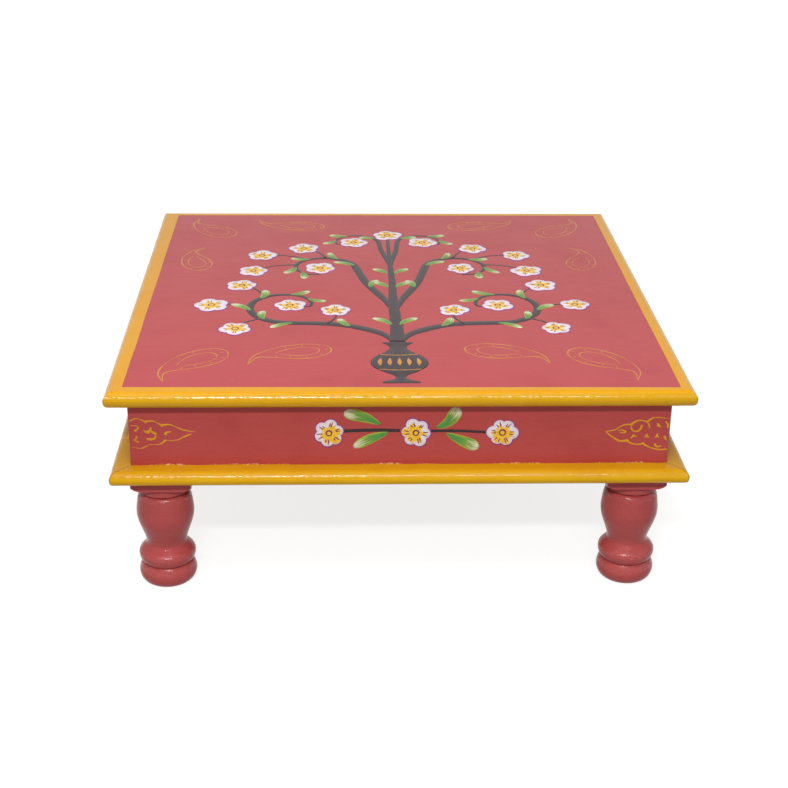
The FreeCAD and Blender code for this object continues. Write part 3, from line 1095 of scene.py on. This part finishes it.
right_figure_lines = (
    (((1, 90), (49, 95), (102, 98), (131, 85), (155, 60)), (1, 4, 9)),
    (((149, 64), (175, 75), (207, 76), (235, 64), (260, 42)), (5, 5, 8)),
    (((255, 45), (289, 48), (319, 37), (353, 12), (386, 3), (419, -3)), (5, 4, 3)),
    (((247, 46), (252, 20), (227, -3), (196, 8), (182, 43)), (3, 5, 8)),
    (((149, 58), (137, 46), (131, 20)), (3, 6, 4)),
    (((419, -3), (393, -26), (357, -53), (320, -73), (270, -68)), (3, 5, 8)),
    (((276, -63), (256, -84), (221, -97), (189, -97), (161, -90)), (7, 4, 6)),
    (((170, -88), (146, -106), (105, -125), (49, -138), (1, -134)), (7, 4, 4)),
    (((338, 3), (315, 7), (287, -4), (304, -14), (328, -7)), (3, 5, 3)),
    (((232, -23), (238, -38), (251, -51)), (4, 7, 3)),
    (((236, -36), (225, -37), (214, -39)), (4, 4, 2)),
    (((144, -20), (149, -35), (159, -47)), (3, 8, 3)),
    (((147, -34), (139, -41), (128, -46)), (6, 5, 2)),
    (((75, -18), (78, -36), (89, -50)), (3, 7, 2)),
    (((78, -35), (70, -43), (62, -48)), (5, 4, 2)),
    (((28, -38), (21, -52), (12, -69)), (7, 7, 3)),
    (((80, 57), (74, 40), (56, 29)), (6, 9, 3)),
    (((29, 69), (11, 46), (13, 20)), (3, 7, 4)),
    (((87, -92), (82, -108), (64, -116), (44, -108)), (6, 7, 3)),
)


def pressed(count, start, middle, end):
    """Half widths of a brush that is pressed as given at a line's start, middle and end."""
    return [width_unit * (middle + (start - middle) * max(1 - 2 * share, 0)
                          + (end - middle) * max(2 * share - 1, 0)) for share in shares(count)]


end_figures = new_film(on_front)
for side, middle, figure in ((-1, left_middle, left_figure_lines),
                             (1, right_middle, right_figure_lines)):
    for line, pressures in figure:
        knots = [(side * (figure_end - inward * place_unit), middle + up * place_unit)
                 for inward, up in line]
        curve = smooth_path(knots, 6)
        brush_stroke(end_figures, curve, pressed(len(curve), *pressures), motif_layer)
lay_film("apron_end_figures", end_figures,
         ochre_material("ochre line paint of the end figures", figure_ochre))

# Floor and room
# A pale floor that fades into a white ground and keeps the table's soft shadow.
floor_reach = 6.0
floor_grey = 0.42
floor_roughness = 0.9
shadow_near, shadow_gone, shadow_glow = 0.35, 1.1, 0.80
floor = bpy.data.meshes.new("floor")
floor.from_pydata([(x * floor_reach, y * floor_reach, 0)
                   for x, y in ((-1, -1), (1, -1), (1, 1), (-1, 1))], [], [(0, 1, 2, 3)])
floor_object = bpy.data.objects.new("floor", floor)
scene.collection.objects.link(floor_object)
material, shader, where = surface("pale floor", 0.0)
shader.inputs["Roughness"].default_value = floor_roughness
shader.inputs["Base Color"].default_value = (floor_grey,) * 3 + (1,)
shader.inputs["Emission Color"].default_value = (1, 1, 1, 1)


def seen_directly(tree):
    """1 for what the camera, a reflection or glass sees, 0 for the light on the object."""
    kinds = new_node(tree, "LightPath").outputs
    seen = sum_of("MAXIMUM", kinds["Is Camera Ray"], kinds["Is Glossy Ray"])
    return sum_of("MAXIMUM", seen, kinds["Is Transmission Ray"])


away = add("VectorMath", {0: where}, operation="LENGTH").outputs["Value"]
glow = ramp(away, shadow_near, shadow_gone, shadow_glow)
link(times(seen_directly(shader.id_data), glow), shader.inputs["Emission Strength"])
floor.materials.append(material)

world = bpy.data.worlds.new("white room")
scene.world = world
world.use_nodes = True
background = world.node_tree.nodes["Background"]
background.inputs["Color"].default_value = (1, 1, 1, 1)
fill_strength = 0.26
strength = times_plus(seen_directly(world.node_tree), 1.0 - fill_strength, fill_strength)
link(strength, background.inputs["Strength"])

# Lamps and camera
# A low strip of light and a smaller lamp in front, a broad soft one above the front edge, and a
# camera that looks down on the front of the table from a little to its left.
lamp_aim = Vector((0, 0, 0.1))


def lamp(name, place, width, height, power):
    light = bpy.data.lights.new(name, "AREA")
    light.shape = "RECTANGLE"
    light.size = width
    light.size_y = height
    light.energy = power
    made = bpy.data.objects.new(name, light)
    made.location = place
    made.rotation_mode = "QUATERNION"
    made.rotation_quaternion = (lamp_aim - Vector(place)).to_track_quat("-Z", "Y")
    scene.collection.objects.link(made)


front_distance, front_elevation = 1.35, math.radians(35.5)
front_reach = front_distance * math.cos(front_elevation)
front_height = lamp_aim.z + front_distance * math.sin(front_elevation)
for name, azimuth, width, height, power in (("front strip", -3, 0.85, 0.06, 4.3),
                                            ("front lamp", -6, 0.26, 0.06, 3.4)):
    turn = math.radians(azimuth)
    lamp(name, (front_reach * math.sin(turn), -front_reach * math.cos(turn), front_height),
         width, height, power)
lamp("soft lamp above", (-0.12, -0.45, 1.45), 1.0, 1.0, 11.0)

camera_place = (-0.0419, -1.0614, 0.5487)
camera_pitch, camera_yaw, camera_roll = (math.radians(a) for a in (24.448, 2.388, 0.806))
lens = bpy.data.cameras.new("camera")
lens.sensor_width = 36.0
lens.lens = 68.77
lens.clip_start = 0.05
camera = bpy.data.objects.new("camera", lens)
camera.matrix_world = (
    Matrix.Translation(camera_place) @ Matrix.Rotation(-camera_yaw, 4, "Z")
    @ Matrix.Rotation(math.pi / 2 - camera_pitch, 4, "X") @ Matrix.Rotation(camera_roll, 4, "Z"))
scene.collection.objects.link(camera)
scene.camera = camera
scene.view_settings.view_transform = "Standard"
